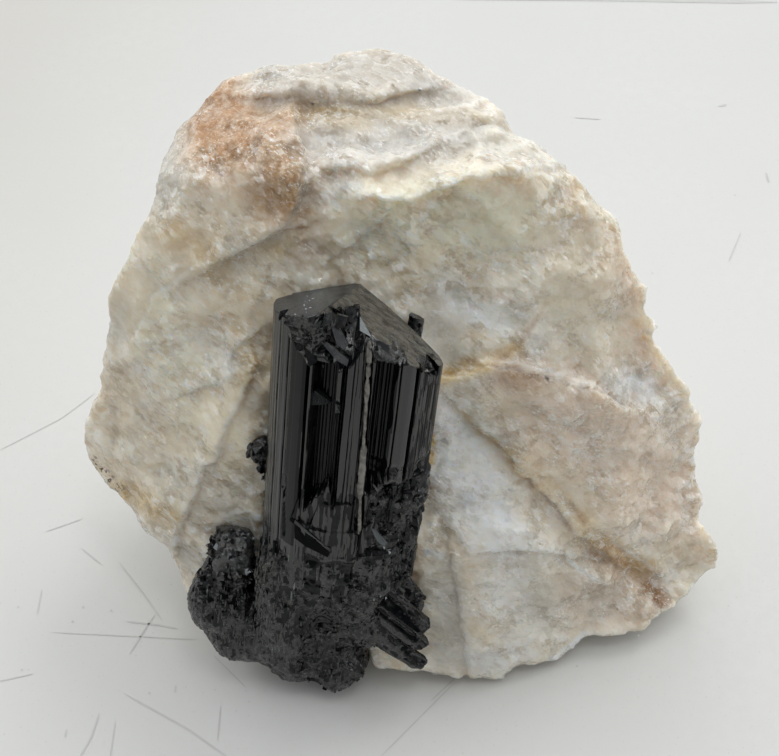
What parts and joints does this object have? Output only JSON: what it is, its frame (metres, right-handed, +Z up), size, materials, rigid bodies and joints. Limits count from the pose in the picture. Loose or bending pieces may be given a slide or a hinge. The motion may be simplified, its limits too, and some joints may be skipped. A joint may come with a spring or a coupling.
{
  "type": "tourmaline crystal on quartz matrix",
  "caption": "Mineral specimen for display: a black striated tourmaline prism with a broken foot, set in the leaning face of a translucent milky quartz block with a flat underside.",
  "frame": {"origin": "under the middle of the specimen, on the plane of its flat base", "axes": "+Z up from the base, -Y out of the face that carries the crystal, +X to the right as that face is seen"},
  "size_m": [0.1485, 0.0835, 0.1247],
  "materials": {
    "milky_quartz": "translucent, sugary broken surface with a glassy sheen",
    "black_tourmaline": "glossy, striated along the crystal",
    "seam_quartz": "satin"
  },
  "bodies": {
    "root": {"quartz_matrix": "milky_quartz", "tourmaline_crystal": "black_tourmaline", "tourmaline_needle": "black_tourmaline", "tourmaline_grain": "black_tourmaline", "quartz_vein": "seam_quartz"}
  },
  "joints": []
}
